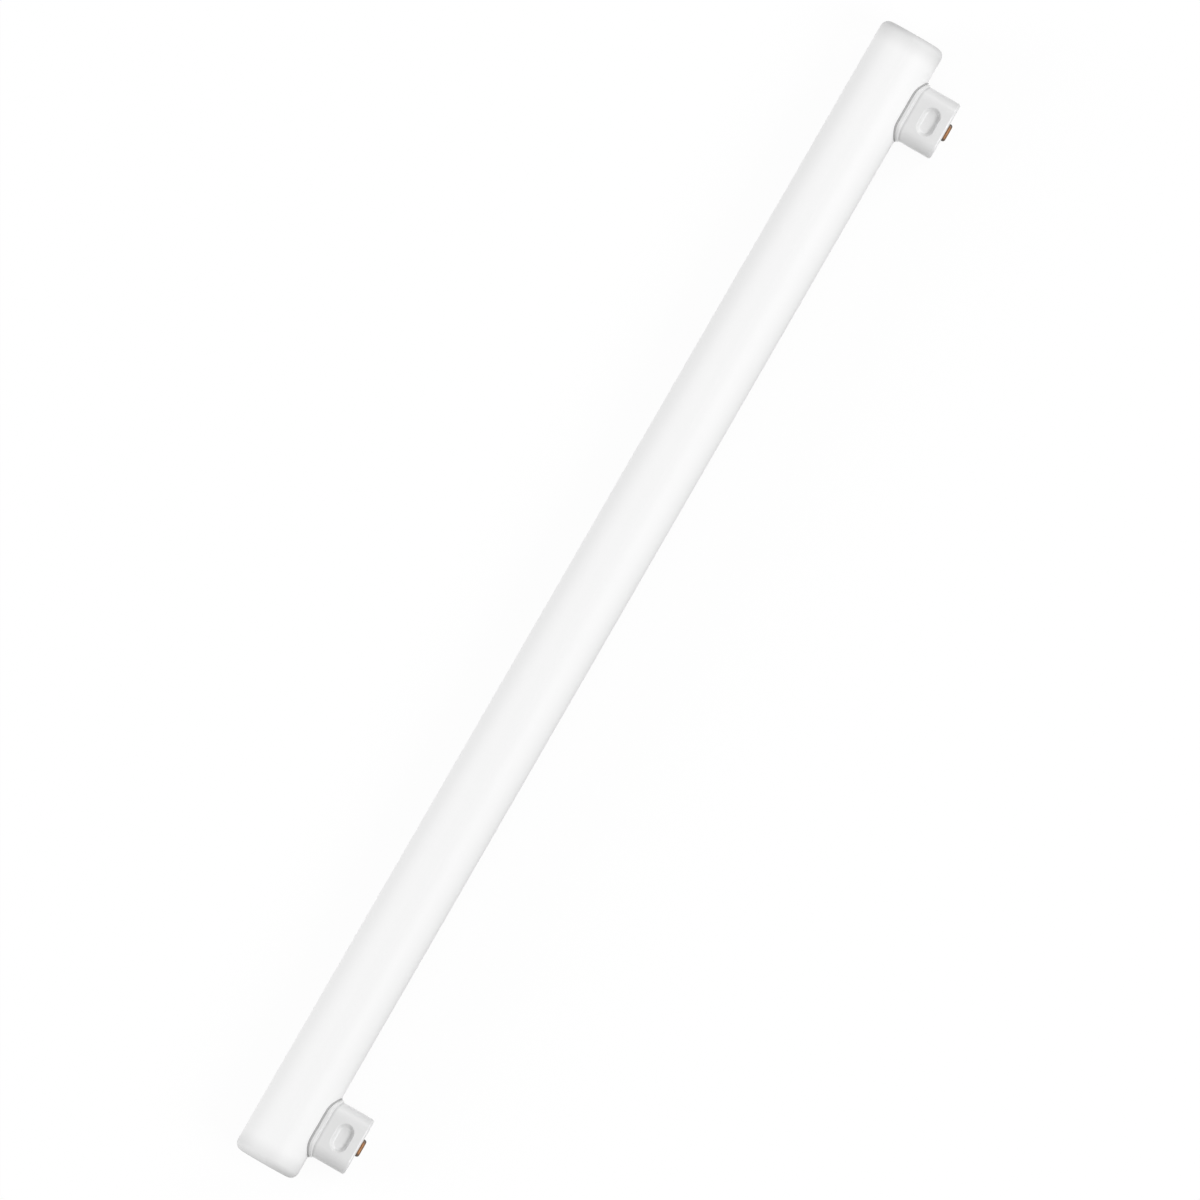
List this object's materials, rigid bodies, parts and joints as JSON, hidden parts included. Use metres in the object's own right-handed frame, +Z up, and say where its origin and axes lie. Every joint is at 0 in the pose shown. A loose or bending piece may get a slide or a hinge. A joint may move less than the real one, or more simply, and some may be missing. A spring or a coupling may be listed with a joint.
{
  "type": "tubular light bulb",
  "caption": "Tubular lamp: a straight opal white tube with an oblong peg cap standing on its side near each end, each cap with a copper-coloured contact button.",
  "frame": {"origin": "on the ground, under the middle of the footprint of the lamp as it lies", "axes": "+X along the tube, towards the end whose cap stands further from it; +Z up from the ground; the caps point forward, to -Y, and 13.7 degrees down"},
  "size_m": [0.5, 0.043, 0.0268],
  "materials": {
    "opal_glass": "smooth opal white",
    "white_cap": "satin white moulding",
    "grey_cement": "matt grey cement",
    "copper_contact": "bare copper-coloured metal, slightly dulled",
    "wire_sleeve": "white sleeve"
  },
  "bodies": {
    "root": {"opal_tube": "opal_glass", "right_cap_housing": "white_cap", "left_cap_housing": "white_cap", "right_cap_bed": "grey_cement", "left_cap_bed": "grey_cement", "right_contact": "copper_contact", "left_contact": "copper_contact", "right_lead_wire": "wire_sleeve", "left_lead_wire": "wire_sleeve"}
  },
  "joints": []
}
